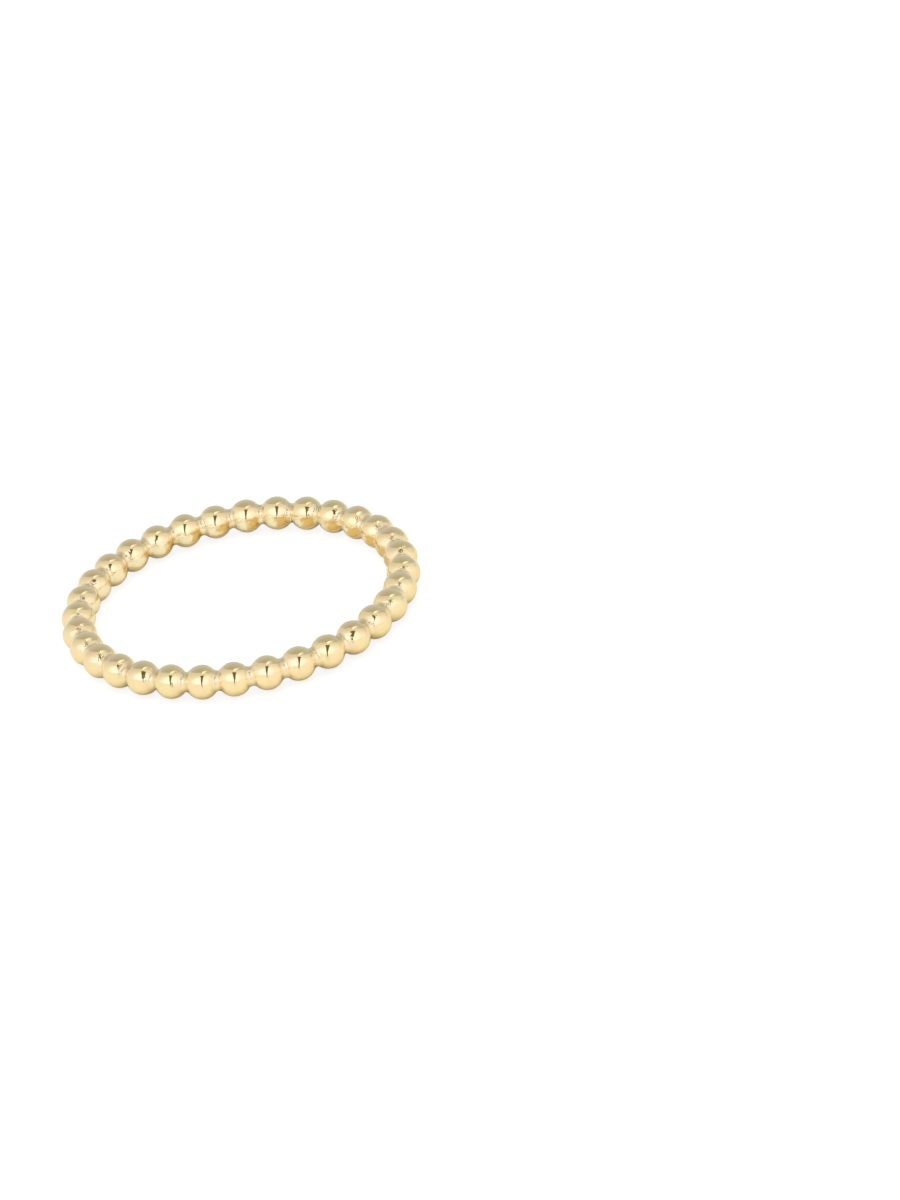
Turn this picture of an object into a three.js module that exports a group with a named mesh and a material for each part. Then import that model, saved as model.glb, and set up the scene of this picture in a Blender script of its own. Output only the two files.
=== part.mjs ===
// Beaded stacking ring: a closed circle of round metal beads, each run into the next through a
// short neck with a smooth concave turn. It is one piece of solid metal with nothing that moves.
// Millimetres, +Z up. The ring lies flat on its side, and the origin is in the middle of the
// finger hole, on the surface that the beads rest on. One bead is centred on +X.
import * as THREE from "three";

// Driving dimensions
const FINGER_DIAMETER = 17.35; // clear between opposite beads: ring size 7
const BEAD_DIAMETER = 2.0;
const BEAD_OVERLAP = 0.1; // how far two neighbouring spheres run into each other
const NECK_FILLET = 0.3; // radius of the concave turn between two beads

// How finely the round forms are cut into flats
const SECTION_SIDES = 16; // around the band
const CREST_FACETS = 7; // along each bead; an odd number leaves a flat on its crest
const FILLET_FACETS = 2; // along each half of a neck

const GOLD = { color: 0xe8c977, metalness: 1.0, roughness: 0.12 };

const beadRadius = BEAD_DIAMETER / 2;
const pathRadius = (FINGER_DIAMETER + BEAD_DIAMETER) / 2; // the circle through the bead centres
const beadCount = Math.round((2 * Math.PI * pathRadius) / (BEAD_DIAMETER - BEAD_OVERLAP));
const beadTurn = (2 * Math.PI) / beadCount; // from one bead to the next, about the ring's axis
const halfPitch = pathRadius * Math.sin(beadTurn / 2); // from a bead's centre to its neck

// The fillet's arc touches both neighbouring spheres, which fixes its centre and where it starts.
const filletReach = beadRadius + NECK_FILLET;
const filletHeight = Math.sqrt(filletReach ** 2 - halfPitch ** 2);
const filletStart = Math.asin(halfPitch / filletReach); // seen from the bead's centre, off its crest

/** Points of an arc in a bead's half section: x runs along the band, y out from its centre line. */
function arcPoints(centreX, centreY, radius, fromAngle, toAngle, facets) {
  const clockwise = toAngle < fromAngle;
  return new THREE.EllipseCurve(centreX, centreY, radius, radius, fromAngle, toAngle, clockwise)
    .getPoints(facets);
}

/** A bead's cross-sections, from just after the neck before it up to the neck after it. */
function beadSections() {
  const up = Math.PI / 2;
  const crestRadius = beadRadius / Math.cos(filletStart / CREST_FACETS); // the flats touch the sphere
  const crest = arcPoints(0, 0, crestRadius, up + filletStart, up - filletStart, CREST_FACETS);
  const fillet = arcPoints(halfPitch, filletHeight, NECK_FILLET, -up - filletStart, -up, FILLET_FACETS);
  const neckAfter = fillet.slice(1);
  const neckBefore = neckAfter.slice(0, -1).reverse().map((point) => new THREE.Vector2(-point.x, point.y));
  return [...neckBefore, ...crest, ...neckAfter];
}

/** The whole band: every bead's cross-sections in turn, each a polygon in a plane through the ring's axis. */
function beadedBandGeometry() {
  const sections = beadSections();
  const sectionCount = beadCount * sections.length;
  const geometry = new THREE.TorusGeometry(pathRadius, beadRadius, SECTION_SIDES, sectionCount);
  const position = geometry.getAttribute("position");
  const sideTurn = (2 * Math.PI) / SECTION_SIDES;
  for (let side = 0; side <= SECTION_SIDES; side++) {
    const around = (side + 0.5) * sideTurn; // half a side on, so that flats face down, up, in and out
    for (let place = 0; place <= sectionCount; place++) {
      const bead = Math.floor((place % sectionCount) / sections.length);
      const section = sections[place % sections.length];
      const fromBead = Math.asin(section.x / pathRadius);
      const turn = bead * beadTurn + fromBead;
      const cornerRadius = section.y / Math.cos(sideTurn / 2);
      const outward = pathRadius * Math.cos(fromBead) + cornerRadius * Math.cos(around);
      const height = beadRadius + cornerRadius * Math.sin(around);
      const vertex = side * (sectionCount + 1) + place;
      position.setXYZ(vertex, outward * Math.cos(turn), outward * Math.sin(turn), height);
    }
  }
  geometry.computeVertexNormals();
  return geometry;
}

const beadedBand = new THREE.Mesh(beadedBandGeometry(), new THREE.MeshStandardMaterial(GOLD));
beadedBand.name = "beaded_band";

const stackingRing = new THREE.Group();
stackingRing.add(beadedBand);

export default stackingRing;
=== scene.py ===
"""A beaded stacking ring in polished pale gold, lying on a white studio table.

The ring is one piece of metal: round beads in a circle, each run into the next through a short
neck with a smooth concave turn. Lengths are in metres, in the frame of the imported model.
"""

import logging
import math
from dataclasses import dataclass
from enum import Enum

import bpy
from mathutils import Matrix, Vector


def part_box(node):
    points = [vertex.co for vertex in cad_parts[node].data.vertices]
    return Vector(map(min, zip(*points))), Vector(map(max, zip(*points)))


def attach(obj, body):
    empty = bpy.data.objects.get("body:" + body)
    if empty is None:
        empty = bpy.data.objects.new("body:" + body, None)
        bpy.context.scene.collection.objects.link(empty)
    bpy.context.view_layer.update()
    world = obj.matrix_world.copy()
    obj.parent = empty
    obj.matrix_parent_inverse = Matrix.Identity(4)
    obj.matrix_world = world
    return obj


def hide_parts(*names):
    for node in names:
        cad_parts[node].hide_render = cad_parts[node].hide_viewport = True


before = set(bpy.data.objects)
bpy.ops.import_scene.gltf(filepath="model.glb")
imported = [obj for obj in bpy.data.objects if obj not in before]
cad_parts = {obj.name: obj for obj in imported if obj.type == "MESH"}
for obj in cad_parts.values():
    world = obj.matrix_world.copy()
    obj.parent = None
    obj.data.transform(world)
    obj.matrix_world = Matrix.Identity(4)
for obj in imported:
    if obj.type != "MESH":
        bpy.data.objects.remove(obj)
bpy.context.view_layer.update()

Socket = bpy.types.NodeSocket
Input = Socket | float | int | tuple

BODY = "root"
NODE = "beaded_band"
MM = 0.001

log = logging.getLogger("beaded_ring")


class Mark(Enum):
    """The values that the band's mesh carries for its material."""

    NECK = "neck"  # 0 over a bead's crest, 1 in the middle of a neck
    CAST = "cast"  # 0 where the band is polished, 1 on the lower part of the side that faces the finger
    FLANK = "flank"  # 0 over the crests and in the necks, 1 and -1 on the two flanks of each bead


class Fade(Enum):
    """How a value passes from one level to the next."""

    STRAIGHT = "LINEAR"
    SOFT = "SMOOTHSTEP"


class Sketch:
    """Adds nodes to one tree and joins them, so that a formula reads as lines of code."""

    def __init__(self, tree: bpy.types.NodeTree) -> None:
        """Starts on a tree.

        Args:
            tree: The node tree that the nodes go into.
        """
        self.tree = tree

    def feed(self, socket: Socket, value: Input) -> None:
        """Joins a socket to its source, or sets its value.

        Args:
            socket: The input.
            value: Another node's output, or a plain value.
        """
        if isinstance(value, bpy.types.NodeSocket):
            self.tree.links.new(value, socket)
        else:
            socket.default_value = value

    def node(
        self, kind: str, inputs: dict[str | int, Input] | None = None, **settings: object
    ) -> bpy.types.Node:
        """Adds one node.

        Args:
            kind: The node's type name.
            inputs: What goes into its sockets, by name or number.
            settings: Its properties.

        Returns:
            The new node.
        """
        made = self.tree.nodes.new(kind)
        for name, value in settings.items():
            setattr(made, name, value)
        for key, value in (inputs or {}).items():
            self.feed(made.inputs[key], value)
        return made

    def math(self, operation: str, *values: Input) -> Socket:
        """Adds one step of arithmetic.

        Args:
            operation: Its name, such as MULTIPLY.
            values: One, two or three inputs.

        Returns:
            The result.
        """
        return self.node("ShaderNodeMath", dict(enumerate(values)), operation=operation).outputs[0]

    def dot(self, vector: Socket, axis: Vector) -> Socket:
        """The share of a vector that runs along a fixed axis."""
        inputs = {0: vector, 1: tuple(axis)}
        return self.node("ShaderNodeVectorMath", inputs, operation="DOT_PRODUCT").outputs["Value"]

    def ease(
        self,
        value: Socket,
        start: Input,
        end: Input,
        low: Input = 0.0,
        high: Input = 1.0,
        fade: Fade = Fade.SOFT,
    ) -> Socket:
        """Passes from one level to another while a value goes from start to end.

        Args:
            value: What is measured.
            start: Where the level starts to change.
            end: Where the change is complete.
            low: The level up to start.
            high: The level from end on.
            fade: The way in between.

        Returns:
            The level.
        """
        inputs = {"Value": value, "From Min": start, "From Max": end, "To Min": low, "To Max": high}
        return self.node("ShaderNodeMapRange", inputs, interpolation_type=fade.value).outputs["Result"]

    def ramp(self, value: Socket, stops: tuple[tuple[float, float], ...]) -> Socket:
        """Looks a value up in a short table, with straight lines between its rows.

        Args:
            value: What is looked up.
            stops: Rows of place and level, in rising order of place.

        Returns:
            The level.
        """
        first, last = stops[0][0], stops[-1][0]
        top = max(level for _, level in stops)
        share = self.ease(value, first, last, fade=Fade.STRAIGHT)
        ramp = self.node("ShaderNodeValToRGB", {"Fac": share})
        elements = ramp.color_ramp.elements
        while len(elements) < len(stops):
            elements.new(0.5)
        for element, (place, level) in zip(elements, stops):
            element.position = (place - first) / (last - first)
            element.color = (level / top, level / top, level / top, 1.0)
        return self.math("MULTIPLY", ramp.outputs["Color"], top)

    def mix(self, share: Input, first: Input, second: Input) -> Socket:
        """Mixes two colours.

        Args:
            share: How much of the second one, from 0 to 1.
            first: The colour at share 0.
            second: The colour at share 1.

        Returns:
            The mixed colour.
        """
        made = self.node("ShaderNodeMix", data_type="RGBA")
        first_colour, second_colour, mixed_colour = 6, 7, 2  # the node's sockets for colours
        self.feed(made.inputs["Factor"], share)
        self.feed(made.inputs[first_colour], first)
        self.feed(made.inputs[second_colour], second)
        return made.outputs[mixed_colour]

    def scaled(self, vector: Input, factor: Input) -> Socket:
        """A vector or a colour times a factor."""
        inputs = {0: vector, "Scale": factor}
        return self.node("ShaderNodeVectorMath", inputs, operation="SCALE").outputs[0]


def rgba(red: float, green: float, blue: float) -> tuple[float, float, float, float]:
    """A solid colour in linear light."""
    return (red, green, blue, 1.0)


@dataclass(frozen=True)
class PhotoCamera:
    """The camera of the photo, found from the outline of its ring and set by the ring's own frame."""

    heading_deg: float = -5.702  # about Z; 0 looks along +Y
    elevation_deg: float = 29.137
    roll_deg: float = 10.864  # the ring leans in the photo, and lies flat here
    distance: float = 328.95 * MM  # to the plane through the ring's centre, across the view
    centre_right: float = -12.266 * MM  # from the middle of the view to the ring's centre
    centre_up: float = 0.271 * MM
    lens_mm: float = 168.5
    sensor_mm: float = 36.0  # the frame's long side
    nearest: float = 10 * MM  # nothing closer is drawn
    farthest: float = 20.0

    def axes(self) -> tuple[Vector, Vector, Vector]:
        """The view's own axes.

        Returns:
            The directions to the picture's right, to its top, and into it.
        """
        elevation, roll = math.radians(self.elevation_deg), math.radians(self.roll_deg)
        turn = Matrix.Rotation(math.radians(self.heading_deg), 3, "Z")
        level_right = turn @ Vector((1, 0, 0))
        level_up = turn @ Vector((0, math.sin(elevation), math.cos(elevation)))
        into = turn @ Vector((0, math.cos(elevation), -math.sin(elevation)))
        right = math.cos(roll) * level_right - math.sin(roll) * level_up
        up = math.sin(roll) * level_right + math.cos(roll) * level_up
        return right, up, into

    def build(self, centre: Vector) -> bpy.types.Object:
        """Makes the camera and hands it to the scene.

        Args:
            centre: The ring's centre.

        Returns:
            The camera.
        """
        right, up, into = self.axes()
        place = centre - self.centre_right * right - self.centre_up * up - self.distance * into
        data = bpy.data.cameras.new("photo_camera")
        data.lens = self.lens_mm
        data.sensor_width = self.sensor_mm
        data.clip_start = self.nearest
        data.clip_end = self.farthest
        camera = bpy.data.objects.new("photo_camera", data)
        turned = Matrix((right, up, -into)).transposed().to_4x4()
        camera.matrix_world = Matrix.Translation(place) @ turned
        bpy.context.scene.collection.objects.link(camera)
        bpy.context.scene.camera = camera
        return camera


@dataclass(frozen=True)
class LightTent:
    """Soft white light from all round, as a jewellery tent gives it, level with the photo's frame.

    A direction is told by its arc, which goes over the top from the horizon on the camera's side at
    0 degrees to the far horizon at 180, and by its side, from -1 at the far left to 1 at the right.
    """

    camera: PhotoCamera
    # The tent is open at the top and back: a round patch of dim room, from 94 to 184 degrees of arc
    opening_arc: float = 139.0
    opening_radius: float = 45.0
    opening_edge: float = 1.5  # degrees over which its rim is soft, on either side
    room_arcs: tuple[float, float] = (96.0, 172.0)  # from the room overhead to the room behind
    room_overhead: tuple[float, float, float] = (0.53, 0.49, 0.41)
    room_behind: tuple[float, float, float] = (0.60, 0.67, 0.77)
    # Degrees from the middle of the opening, brightness of the cloth
    cloth: tuple[tuple[float, float], ...] = (
        (40, 0.74), (50, 0.77), (60, 0.83), (75, 0.96), (93, 1.0), (127, 1.03), (180, 1.05),
    )
    # Arc in degrees, brightness added by the two lamps behind the cloth
    lamps: tuple[tuple[float, float], ...] = (
        (11, 0.0), (15, 0.32), (36, 0.4), (50, 0.34), (72, 0.0),
    )
    # Side, share of the lamps' light
    lamps_across: tuple[tuple[float, float], ...] = (
        (-1.0, 0.0), (-0.93, 0.35), (-0.7, 1.0), (0.0, 0.8), (0.45, 0.6), (0.75, 0.15), (1.0, 0.0),
    )
    # Arc in degrees, half width in degrees of the slot in the cloth that the camera looks through
    slot: tuple[tuple[float, float], ...] = (
        (-9, 1.6), (12, 3.0), (29, 4.4), (46, 6.6), (63, 8.8), (67, 11.5), (74, 12.0),
    )
    slot_edge: float = 0.8  # degrees over which its sides are soft
    slot_foot: tuple[float, float] = (-9.0, 0.0)  # arcs over which it starts
    slot_top: tuple[float, float] = (72.0, 76.0)  # arcs over which it ends
    # The bright seam runs from overhead to the back right, and fades out on the way
    seam_arc: float = 93.0  # where it passes overhead
    seam_slant: float = 46.0  # degrees of arc that it climbs from side 0 to side 1
    seam_edge: tuple[float, float] = (5.0, 10.0)  # degrees off its middle over which it ends
    seam_start: tuple[float, float] = (-0.12, 0.0)  # sides over which it comes in
    seam_end: tuple[float, float] = (0.0, 0.55)  # sides over which it fades out
    card_gain: float = 0.09  # share of light that a white card on the right adds
    card_sides: tuple[float, float] = (0.1, 0.35)  # from its soft edge on
    card_foot: tuple[float, float] = (25.0, 45.0)  # arcs over which it comes in
    card_top: tuple[float, float] = (116.0, 136.0)  # arcs over which it ends
    cloth_tint: tuple[float, float, float] = (1.0, 1.0, 1.02)
    lamp_tint: tuple[float, float, float] = (0.9, 1.0, 1.75)
    seam_tint: tuple[float, float, float] = (1.3, 1.42, 1.6)
    slot_tint: tuple[float, float, float] = (0.16, 0.14, 0.055)
    backdrop: tuple[float, float, float] = (1.0, 1.0, 1.0)

    def build(self) -> bpy.types.World:
        """Makes the tent as the scene's world.

        Returns:
            The world.
        """
        world = bpy.data.worlds.new("light_tent")
        world.use_nodes = True
        world.node_tree.nodes.clear()
        s = Sketch(world.node_tree)
        right, up, into = self.camera.axes()
        elevation = math.radians(self.camera.elevation_deg)
        zenith = math.cos(elevation) * up - math.sin(elevation) * into
        ahead = -math.sin(elevation) * up - math.cos(elevation) * into
        away = s.node("ShaderNodeTexCoord").outputs["Generated"]
        past_zenith = s.math("ARCTAN2", s.dot(away, -ahead), s.dot(away, zenith))
        arc = s.math("ADD", s.math("DEGREES", past_zenith), 90.0)
        side = s.dot(away, right)
        tilt = math.radians(self.opening_arc)
        opening = math.cos(tilt) * ahead + math.sin(tilt) * zenith
        off_opening = s.math("DEGREES", s.math("ARCCOSINE", s.dot(away, opening)))
        light = self.cloth_light(s, arc, side, off_opening)
        room = s.mix(s.ease(arc, *self.room_arcs), rgba(*self.room_overhead), rgba(*self.room_behind))
        inner, outer = self.opening_radius - self.opening_edge, self.opening_radius + self.opening_edge
        light = s.mix(s.ease(off_opening, inner, outer, 1.0, 0.0), light, room)
        gain = s.math("MULTIPLY_ADD", self.card_share(s, arc, side), self.card_gain, 1.0)
        light = s.scaled(light, gain)
        light = s.mix(self.seam_share(s, arc, side), light, rgba(*self.seam_tint))
        light = s.mix(self.slot_share(s, arc, side), light, rgba(*self.slot_tint))
        seen = s.node("ShaderNodeLightPath").outputs["Is Camera Ray"]
        colour = s.mix(seen, light, rgba(*self.backdrop))
        background = s.node("ShaderNodeBackground", {"Color": colour, "Strength": 1.0})
        s.node("ShaderNodeOutputWorld", {"Surface": background.outputs[0]})
        bpy.context.scene.world = world
        return world

    def cloth_light(self, s: Sketch, arc: Socket, side: Socket, off_opening: Socket) -> Socket:
        """The light of the cloth and of the lamps behind it.

        Args:
            s: The world's tree.
            arc: The direction's arc in degrees.
            side: The direction's side.
            off_opening: Degrees from the middle of the tent's opening.

        Returns:
            The colour of the light.
        """
        cloth = s.ramp(off_opening, self.cloth)
        lamps = s.math("MULTIPLY", s.ramp(arc, self.lamps), s.ramp(side, self.lamps_across))
        inputs = {0: s.scaled(self.cloth_tint, cloth), 1: s.scaled(self.lamp_tint, lamps)}
        return s.node("ShaderNodeVectorMath", inputs, operation="ADD").outputs[0]

    def card_share(self, s: Sketch, arc: Socket, side: Socket) -> Socket:
        """How much of the white card on the right is in a direction.

        Args:
            s: The world's tree.
            arc: The direction's arc in degrees.
            side: The direction's side.

        Returns:
            0 beside the card, 1 on it.
        """
        across = s.ease(side, *self.card_sides)
        foot = s.ease(arc, *self.card_foot)
        top = s.ease(arc, *self.card_top, 1.0, 0.0)
        return s.math("MULTIPLY", across, s.math("MULTIPLY", foot, top))

    def seam_share(self, s: Sketch, arc: Socket, side: Socket) -> Socket:
        """How much of the bright seam that runs from overhead to the back right is in a direction.

        Args:
            s: The world's tree.
            arc: The direction's arc in degrees.
            side: The direction's side.

        Returns:
            0 off the seam, 1 on it.
        """
        middle = s.math("MULTIPLY_ADD", side, self.seam_slant, self.seam_arc)
        off = s.math("ABSOLUTE", s.math("SUBTRACT", arc, middle))
        across = s.ease(off, *self.seam_edge, 1.0, 0.0)
        start = s.ease(side, *self.seam_start)
        end = s.ease(side, *self.seam_end, 1.0, 0.0)
        return s.math("MULTIPLY", across, s.math("MULTIPLY", start, end))

    def slot_share(self, s: Sketch, arc: Socket, side: Socket) -> Socket:
        """How much of the camera's dark slot is in a direction.

        Args:
            s: The world's tree.
            arc: The direction's arc in degrees.
            side: The direction's side.

        Returns:
            0 on the cloth, 1 in the slot.
        """
        half_width = s.ramp(arc, self.slot)
        off = s.math("DEGREES", s.math("ARCSINE", s.math("ABSOLUTE", side)))
        edge = s.math("SUBTRACT", off, half_width)
        across = s.ease(edge, -self.slot_edge, self.slot_edge, 1.0, 0.0)
        top = s.ease(arc, *self.slot_top, 1.0, 0.0)
        foot = s.ease(arc, *self.slot_foot)
        return s.math("MULTIPLY", across, s.math("MULTIPLY", top, foot))


@dataclass(frozen=True)
class Table:
    """The plain white table top under the ring, and the lamp above it that only the table sees."""

    side: float = 3.0
    gap: float = 0.015 * MM
    colour: tuple[float, float, float] = (0.84, 0.835, 0.76)
    roughness: float = 0.3
    shadow_lift: float = 0.75  # how far the camera's view of the shadows is lifted to white
    lift_light: float = 1.1
    lamp_height: float = 0.6
    lamp_side: float = 0.7
    lamp_watts: float = 1.9
    lamp_tint: tuple[float, float, float] = (1.0, 1.0, 0.9)

    def build(self) -> None:
        """Makes the table top and its lamp."""
        half = self.side / 2
        corners = [(-half, -half), (half, -half), (half, half), (-half, half)]
        mesh = bpy.data.meshes.new("table_top")
        mesh.from_pydata([(x, y, -self.gap) for x, y in corners], [], [(0, 1, 2, 3)])
        table = bpy.data.objects.new("table_top", mesh)
        bpy.context.scene.collection.objects.link(table)
        mesh.materials.append(self.paint())
        data = bpy.data.lights.new("table_lamp", "AREA")
        data.shape = "DISK"
        data.size = self.lamp_side
        data.energy = self.lamp_watts
        data.color = self.lamp_tint
        lamp = bpy.data.objects.new("table_lamp", data)
        lamp.location = (0, 0, self.lamp_height)
        lamp.visible_glossy = False
        lamp.visible_camera = False
        bpy.context.scene.collection.objects.link(lamp)

    def paint(self) -> bpy.types.Material:
        """The table's smooth white, with its shadows lifted where the camera sees them.

        Returns:
            The material.
        """
        material = bpy.data.materials.new("table_white")
        material.use_nodes = True
        s = Sketch(material.node_tree)
        shader = material.node_tree.nodes["Principled BSDF"]
        shader.inputs["Base Color"].default_value = rgba(*self.colour)
        shader.inputs["Roughness"].default_value = self.roughness
        seen = s.node("ShaderNodeLightPath").outputs["Is Camera Ray"]
        lift = s.math("MULTIPLY", seen, self.shadow_lift)
        glow = s.node("ShaderNodeEmission", {"Color": rgba(1.0, 1.0, 1.0), "Strength": self.lift_light})
        mixed = s.node("ShaderNodeMixShader", {0: lift, 1: shader.outputs[0], 2: glow.outputs[0]})
        s.feed(material.node_tree.nodes["Material Output"].inputs["Surface"], mixed.outputs[0])
        return material


@dataclass(frozen=True)
class PolishedGold:
    """Pale yellow gold, bright on the beads, and as it came from the mould in the necks and inside,
    with painted amber shade and a painted dim band over the inside.
    """

    colour: tuple[float, float, float] = (0.92, 0.76, 0.42)
    peach: tuple[float, float, float] = (0.94, 0.735, 0.43)
    neck_colour: tuple[float, float, float] = (0.92, 0.745, 0.45)
    cast_colour: tuple[float, float, float] = (0.94, 0.82, 0.54)
    painted_dim_band: tuple[float, float, float] = (0.80, 0.62, 0.32)  # painted shade: a dim band along the upper rim of the unpolished zone, standing in for a dark reflection
    painted_dim_band_share: float = 0.75
    # Painted shade and reflection: amber patches on the unpolished inside, darker in places, standing
    # in for the shadowed table and the gold reflected there
    painted_amber_shade: tuple[float, float, float] = (0.84, 0.63, 0.33)
    painted_deep_amber_shade: tuple[float, float, float] = (0.74, 0.49, 0.16)
    painted_shade_lean: float = -0.3  # how much more of the painted amber shade lies on one flank of each bead
    gold_in_gold: tuple[float, float, float] = (0.96, 0.88, 0.71)  # it stays pale in its own reflection
    gold_in_gold_share: float = 0.85
    polished_roughness: float = 0.045
    neck_roughness: float = 0.22
    cast_roughness: float = 0.17
    # Where each effect starts and where it is complete, on its own scale from 0 to 1
    neck_fade: tuple[float, float] = (0.58, 0.86)
    cast_fade: tuple[float, float] = (0.25, 0.85)
    grain_fade: tuple[float, float] = (0.42, 0.8)
    drift_fade: tuple[float, float] = (0.38, 0.62)
    painted_shade_fade: tuple[float, float] = (0.43, 0.61)
    painted_deep_shade_fade: tuple[float, float] = (0.57, 0.72)
    painted_dim_band_rise: tuple[float, float] = (0.0, 0.25)
    painted_dim_band_fall: tuple[float, float] = (0.25, 0.6)
    neck_wander: float = 0.3  # how far the patches move the neck's rim
    grain_wander: float = 0.8  # how far they move the rim of its grain
    neck_grain: float = 0.6  # share of the grain's height that the necks have
    grain_size: float = 0.1 * MM
    grain_height: float = 0.035 * MM
    peel_size: float = 0.22 * MM
    peel_height: float = 0.0025 * MM
    patch_size: float = 0.4 * MM
    drift_size: float = 0.9 * MM

    def material(self) -> bpy.types.Material:
        """Makes the material.

        Returns:
            The gold, with its grain, polish and painted shade worked out from the marks on the mesh.
        """
        material = bpy.data.materials.new("polished_pale_gold")
        material.use_nodes = True
        s = Sketch(material.node_tree)
        shader = material.node_tree.nodes["Principled BSDF"]
        shader.inputs["Metallic"].default_value = 1.0
        place = s.node("ShaderNodeTexCoord").outputs["Object"]
        grain = self.noise(s, place, self.grain_size, detail=2.0)
        peel = self.noise(s, place, self.peel_size)
        patches = self.noise(s, place, self.patch_size, detail=2.0)
        drift = self.noise(s, place, self.drift_size)
        wander = s.math("SUBTRACT", patches, 0.5)
        neck = self.mark(s, Mark.NECK)
        in_neck = s.ease(s.math("MULTIPLY_ADD", wander, self.neck_wander, neck), *self.neck_fade)
        unpolished = s.ease(s.math("ADD", wander, self.mark(s, Mark.CAST)), *self.cast_fade)

        polished = self.polished_roughness
        necks = s.ease(in_neck, 0.0, 1.0, polished, self.neck_roughness, Fade.STRAIGHT)
        inside = s.ease(unpolished, 0.0, 1.0, polished, self.cast_roughness, Fade.STRAIGHT)
        s.feed(shader.inputs["Roughness"], s.math("MAXIMUM", necks, inside))

        colour = s.mix(s.ease(drift, *self.drift_fade), rgba(*self.colour), rgba(*self.peach))
        colour = s.mix(in_neck, colour, rgba(*self.neck_colour))
        # Painted shade and reflection: amber patches, leaning to one flank of each bead, mixed with the
        # unpolished inside's own paler colour
        painted_shade_share = s.math("MULTIPLY_ADD", self.mark(s, Mark.FLANK), self.painted_shade_lean, patches)
        painted_amber_shade = s.mix(s.ease(painted_shade_share, *self.painted_deep_shade_fade), rgba(*self.painted_amber_shade), rgba(*self.painted_deep_amber_shade))
        cast = s.mix(s.ease(painted_shade_share, *self.painted_shade_fade), rgba(*self.cast_colour), painted_amber_shade)
        colour = s.mix(unpolished, colour, cast)
        # Painted shade: a dim band along the upper rim of the unpolished zone, standing in for a dark
        # reflection line
        rise = s.ease(unpolished, *self.painted_dim_band_rise)
        fall = s.ease(unpolished, *self.painted_dim_band_fall, 1.0, 0.0)
        dim = s.math("MULTIPLY", s.math("MULTIPLY", rise, fall), self.painted_dim_band_share)
        colour = s.mix(dim, colour, rgba(*self.painted_dim_band))
        in_reflection = s.node("ShaderNodeLightPath").outputs["Is Glossy Ray"]
        paler = s.math("MULTIPLY", in_reflection, self.gold_in_gold_share)
        s.feed(shader.inputs["Base Color"], s.mix(paler, colour, rgba(*self.gold_in_gold)))

        by_neck = s.ease(s.math("MULTIPLY_ADD", wander, self.grain_wander, neck), *self.grain_fade)
        grainy = s.math("MAXIMUM", s.math("MULTIPLY", by_neck, self.neck_grain), unpolished)
        grain_part = s.math("MULTIPLY", grain, s.math("MULTIPLY", grainy, self.grain_height / MM))
        height = s.math("MULTIPLY_ADD", peel, self.peel_height / MM, grain_part)
        bump = s.node("ShaderNodeBump", {"Height": height, "Distance": MM, "Strength": 1.0})
        s.feed(shader.inputs["Normal"], bump.outputs[0])
        return material

    def mark(self, s: Sketch, mark: Mark) -> Socket:
        """Reads one of the values that the mesh carries."""
        return s.node("ShaderNodeAttribute", attribute_name=mark.value).outputs["Fac"]

    def noise(self, s: Sketch, place: Socket, size: float, detail: float = 0.0) -> Socket:
        """Adds an even, random pattern.

        Args:
            s: The material's tree.
            place: Where it is read.
            size: How large its spots are.
            detail: How many finer patterns lie over it.

        Returns:
            A value of about 0.5 that rises and falls from spot to spot.
        """
        inputs = {"Vector": place, "Scale": 1 / size, "Detail": detail}
        return s.node("ShaderNodeTexNoise", inputs).outputs["Fac"]


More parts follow.
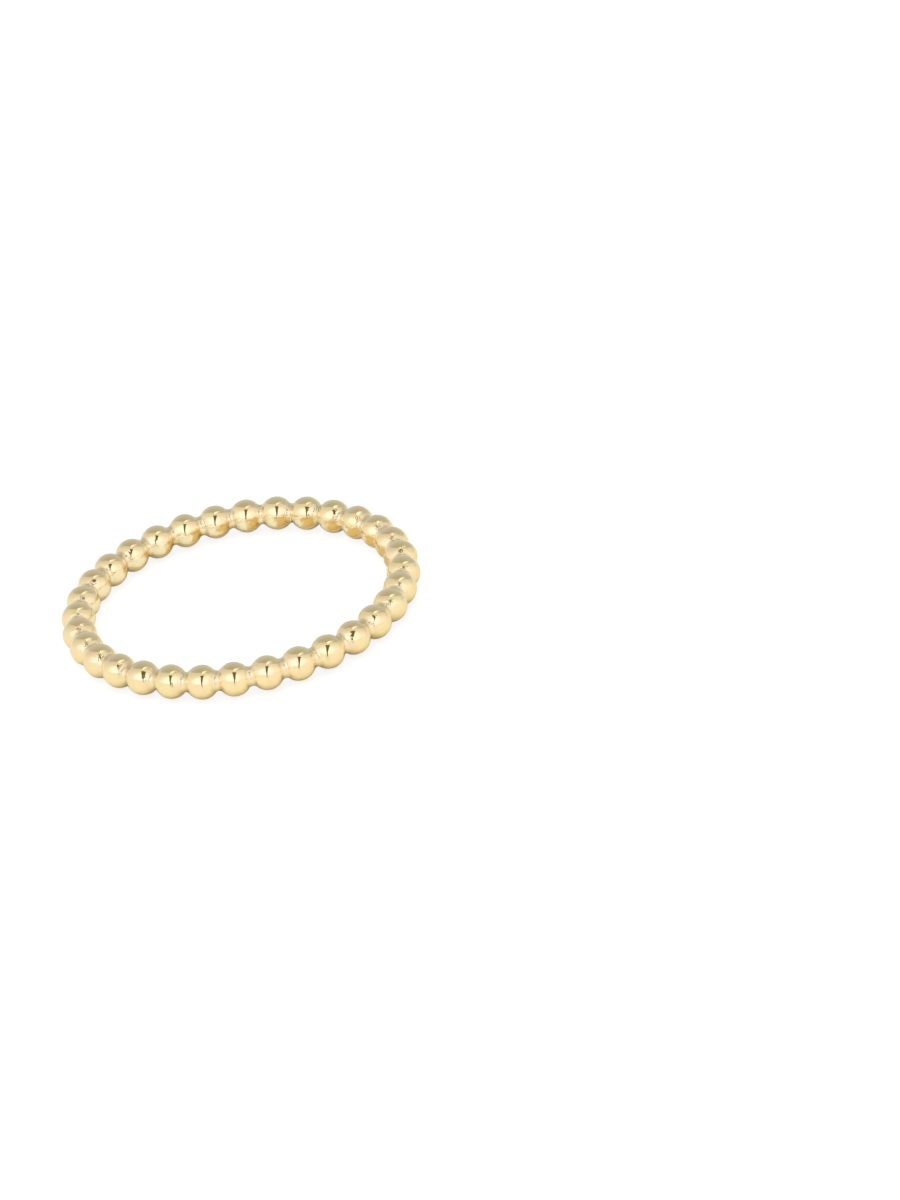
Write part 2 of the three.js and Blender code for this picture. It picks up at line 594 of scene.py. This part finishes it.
@dataclass(frozen=True)
class BeadedBand:
    """The ring's one piece: beads in a circle, run into each other through filleted necks."""

    bead_radius: float
    path_radius: float  # of the circle through the beads' centres
    bead_count: int = 32
    neck_fillet: float = 0.30 * MM  # radius of the concave turn between two beads
    sides: int = 64  # round the band
    rows: int = 44  # along each bead, neck to neck
    cast_down_deg: float = 8.0  # from straight inwards down to the middle of the unpolished zone
    cast_fade_deg: tuple[float, float] = (13.0, 35.0)  # from that middle, where the polish sets in
    weld: float = 0.001 * MM  # how close two necks' points lie to become one
    wave_length: float = 1.5 * MM  # of the broad, low waves that hand polishing leaves
    wave_height: float = 0.05 * MM
    ripple_length: float = 0.5 * MM  # of the small ripples between them
    ripple_height: float = 0.02 * MM
    seed: int = 7

    @classmethod
    def from_frame(cls, node: str) -> "BeadedBand":
        """Takes the band's size from its solid.

        Args:
            node: The solid's name in the frame.

        Returns:
            The band.
        """
        low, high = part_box(node)
        bead_radius = (high[2] - low[2]) / 2
        return cls(bead_radius=bead_radius, path_radius=(high[0] - low[0]) / 2 - bead_radius)

    def tree(self) -> tuple[bpy.types.NodeTree, dict[str, Input]]:
        """Builds the Geometry Nodes tree that makes the band.

        Returns:
            The tree, and the value of each of its inputs by the socket's identifier.
        """
        tree = bpy.data.node_groups.new("beaded_band_shape", "GeometryNodeTree")
        tree.interface.new_socket("Band", in_out="OUTPUT", socket_type="NodeSocketGeometry")
        kinds = {int: "NodeSocketInt", float: "NodeSocketFloat"}
        sizes = {
            "Bead Count": self.bead_count,
            "Bead Radius": self.bead_radius,
            "Path Radius": self.path_radius,
            "Neck Fillet": self.neck_fillet,
            "Sides": self.sides,
            "Rows": self.rows,
            "Weld": self.weld,
            "Wave Length": self.wave_length,
            "Wave Height": self.wave_height,
            "Ripple Length": self.ripple_length,
            "Ripple Height": self.ripple_height,
            "Seed": self.seed,
        }
        values = {}
        for name, value in sizes.items():
            socket = tree.interface.new_socket(name, in_out="INPUT", socket_type=kinds[type(value)])
            values[socket.identifier] = value
        gold = tree.interface.new_socket("Gold", in_out="INPUT", socket_type="NodeSocketMaterial")
        values[gold.identifier] = None
        return tree, values

    def build(self, gold: bpy.types.Material) -> bpy.types.Object:
        """Makes the band as a plain mesh.

        Args:
            gold: Its material.

        Returns:
            The band's object.
        """
        tree, values = self.tree()
        s = Sketch(tree)
        given = s.node("NodeGroupInput").outputs
        bead = self.one_bead(s, given)
        band = self.all_beads(s, given, bead)
        s.node("NodeGroupOutput", {"Band": band})
        carrier = bpy.data.objects.new("band_carrier", bpy.data.meshes.new("band_carrier"))
        bpy.context.scene.collection.objects.link(carrier)
        modifier = carrier.modifiers.new("beaded_band_shape", "NODES")
        modifier.node_group = tree
        for identifier, value in values.items():
            modifier[identifier] = gold if value is None else value
        depsgraph = bpy.context.evaluated_depsgraph_get()
        mesh = bpy.data.meshes.new_from_object(
            carrier.evaluated_get(depsgraph), preserve_all_data_layers=True, depsgraph=depsgraph
        )
        carrier.modifiers.remove(modifier)
        bpy.data.objects.remove(carrier)
        mesh.name = "ring_band"
        band_object = bpy.data.objects.new("ring_band", mesh)
        bpy.context.scene.collection.objects.link(band_object)
        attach(band_object, BODY)
        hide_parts(NODE)
        return band_object

    def one_bead(self, s: Sketch, given: bpy.types.bpy_prop_collection) -> Socket:
        """Makes the stretch of band of one bead, from neck to neck, centred on +X.

        Args:
            s: The tree.
            given: The tree's inputs.

        Returns:
            The mesh, an open tube with its marks.
        """
        radius, path, fillet = given["Bead Radius"], given["Path Radius"], given["Neck Fillet"]
        half_turn = s.math("DIVIDE", math.pi, given["Bead Count"])
        half_pitch = s.math("MULTIPLY", path, s.math("SINE", half_turn))
        reach = s.math("ADD", radius, fillet)
        # Seen from the bead's centre, off its crest: where the sphere ends and the fillet starts
        touch = s.math("ARCSINE", s.math("DIVIDE", half_pitch, reach))
        crest_share = s.math("DIVIDE", radius, reach)

        width = 2.0  # so that places on the grid run from -1 to 1
        grid_inputs = {
            "Size X": width,
            "Size Y": width,
            "Vertices X": s.math("ADD", given["Rows"], 1),
            "Vertices Y": s.math("ADD", given["Sides"], 1),
        }
        grid = s.node("GeometryNodeMeshGrid", grid_inputs)
        flat = s.node("ShaderNodeSeparateXYZ", {0: s.node("GeometryNodeInputPosition").outputs[0]})
        along = s.math("ABSOLUTE", flat.outputs["X"])
        around = s.math("MULTIPLY", flat.outputs["Y"], math.pi)

        # The sphere's angle rises to where it touches the fillet, then the fillet's falls to the neck
        on_crest = s.math("MINIMUM", s.math("DIVIDE", along, crest_share), 1.0)
        crest_angle = s.math("MULTIPLY", on_crest, touch)
        past_touch = s.math("MAXIMUM", s.math("SUBTRACT", along, crest_share), 0.0)
        on_fillet = s.math("DIVIDE", past_touch, s.math("SUBTRACT", 1.0, crest_share))
        fillet_angle = s.math("MULTIPLY", touch, s.math("SUBTRACT", 1.0, on_fillet))

        def bend(function: str) -> Socket:
            """Adds the sphere's part and the fillet's part of one coordinate of the half section."""
            sphere = s.math("MULTIPLY", radius, s.math(function, crest_angle))
            swing = s.math("SUBTRACT", s.math(function, touch), s.math(function, fillet_angle))
            return s.math("ADD", sphere, s.math("MULTIPLY", fillet, swing))

        run = bend("SINE")
        thickness = bend("COSINE")

        # The section's centre follows the bead, and comes level with its mirror image at the neck
        turn = s.math("ARCSINE", s.math("DIVIDE", run, path))
        touch_run = s.math("MULTIPLY", radius, s.math("SINE", touch))
        touch_turn = s.math("ARCSINE", s.math("DIVIDE", touch_run, path))
        over = s.math("MAXIMUM", s.math("SUBTRACT", turn, touch_turn), 0.0)
        room = s.math("MULTIPLY", s.math("SUBTRACT", half_turn, touch_turn), 2.0)
        levelling = s.math("MULTIPLY", over, s.math("SUBTRACT", 1.0, s.math("DIVIDE", over, room)))
        sphere_centre = s.math("MULTIPLY", path, s.math("COSINE", s.math("MINIMUM", turn, touch_turn)))
        centre = s.math("SUBTRACT", sphere_centre, s.math("MULTIPLY", touch_run, levelling))

        outward = s.math("MULTIPLY_ADD", thickness, s.math("COSINE", around), centre)
        height = s.math("MULTIPLY_ADD", thickness, s.math("SINE", around), radius)
        signed_turn = s.math("MULTIPLY", turn, s.math("SIGN", flat.outputs["X"]))
        placed = s.node(
            "ShaderNodeCombineXYZ",
            {
                "X": s.math("MULTIPLY", outward, s.math("COSINE", signed_turn)),
                "Y": s.math("MULTIPLY", outward, s.math("SINE", signed_turn)),
                "Z": height,
            },
        )
        mesh = self.mark(s, grid.outputs["Mesh"], Mark.NECK, along)
        mesh = self.mark(s, mesh, Mark.CAST, self.unpolished(s, around))
        flank = s.math("SINE", s.math("MULTIPLY", flat.outputs["X"], math.pi))
        mesh = self.mark(s, mesh, Mark.FLANK, flank)
        inputs = {"Geometry": mesh, "Position": placed.outputs[0]}
        return s.node("GeometryNodeSetPosition", inputs).outputs[0]

    def unpolished(self, s: Sketch, around: Socket) -> Socket:
        """How little a place was polished, by its angle round the band.

        Args:
            s: The tree.
            around: The angle from the outer side, in radians from -pi to pi.

        Returns:
            0 where it was polished, 1 where it wasn't.
        """
        middle = -math.pi + math.radians(self.cast_down_deg)
        off = s.math("ARCCOSINE", s.math("COSINE", s.math("SUBTRACT", around, middle)))
        start, end = (math.radians(angle) for angle in self.cast_fade_deg)
        return s.ease(off, start, end, 1.0, 0.0)

    def mark(self, s: Sketch, geometry: Socket, mark: Mark, value: Socket) -> Socket:
        """Writes one of the material's values on the mesh.

        Args:
            s: The tree.
            geometry: What is marked.
            mark: Which value it is.
            value: The value itself.

        Returns:
            The marked geometry.
        """
        inputs = {"Geometry": geometry, "Name": mark.value, "Value": value}
        marked = s.node("GeometryNodeStoreNamedAttribute", inputs, data_type="FLOAT", domain="POINT")
        return marked.outputs[0]

    def unevenness(self, s: Sketch, given: bpy.types.bpy_prop_collection, kind: str) -> Socket:
        """How far one kind of unevenness lifts the surface.

        Args:
            s: The tree.
            given: The tree's inputs.
            kind: The first word of the two inputs that size it.

        Returns:
            The lift.
        """
        scale = s.math("DIVIDE", 1.0, given[f"{kind} Length"])
        inputs = {"Scale": scale, "Detail": 0.0, "W": given["Seed"]}
        pattern = s.node("ShaderNodeTexNoise", inputs, noise_dimensions="4D").outputs[0]
        return s.math("MULTIPLY", s.math("SUBTRACT", pattern, 0.5), given[f"{kind} Height"])

    def all_beads(self, s: Sketch, given: bpy.types.bpy_prop_collection, bead: Socket) -> Socket:
        """Repeats the bead round the ring and joins the copies into one closed skin.

        Args:
            s: The tree.
            given: The tree's inputs.
            bead: One bead's mesh.

        Returns:
            The finished band.
        """
        count = given["Bead Count"]
        points = s.node("GeometryNodePoints", {"Count": count}).outputs[0]
        number = s.node("GeometryNodeInputIndex").outputs[0]
        turn = s.math("MULTIPLY", number, s.math("DIVIDE", 2 * math.pi, count))
        rotation = s.node("ShaderNodeCombineXYZ", {"Z": turn}).outputs[0]
        inputs = {"Points": points, "Instance": bead, "Rotation": rotation}
        copies = s.node("GeometryNodeInstanceOnPoints", inputs).outputs[0]
        whole = s.node("GeometryNodeRealizeInstances", {"Geometry": copies}).outputs[0]
        inputs = {"Geometry": whole, "Distance": given["Weld"]}
        whole = s.node("GeometryNodeMergeByDistance", inputs).outputs[0]
        waves = self.unevenness(s, given, "Wave")
        lift = s.math("ADD", waves, self.unevenness(s, given, "Ripple"))
        outward = s.node("GeometryNodeInputNormal").outputs[0]
        inputs = {"Geometry": whole, "Offset": s.scaled(outward, lift)}
        whole = s.node("GeometryNodeSetPosition", inputs).outputs[0]
        inputs = {"Geometry": whole, "Shade Smooth": True}
        whole = s.node("GeometryNodeSetShadeSmooth", inputs).outputs[0]
        inputs = {"Geometry": whole, "Material": given["Gold"]}
        return s.node("GeometryNodeSetMaterial", inputs).outputs[0]


def report(piece: bpy.types.Object) -> None:
    """Logs a piece's name and how many triangles it has."""
    piece.data.calc_loop_triangles()
    log.info("%s: %d triangles", piece.name, len(piece.data.loop_triangles))


def main() -> None:
    """Builds the studio and the ring."""
    logging.basicConfig(level=logging.INFO, format="%(message)s")
    low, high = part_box(NODE)
    camera = PhotoCamera()
    camera.build((Vector(low) + Vector(high)) / 2)
    LightTent(camera).build()
    Table().build()
    bpy.context.scene.view_settings.view_transform = "Standard"
    report(BeadedBand.from_frame(NODE).build(PolishedGold().material()))


if __name__ == "__main__":
    main()
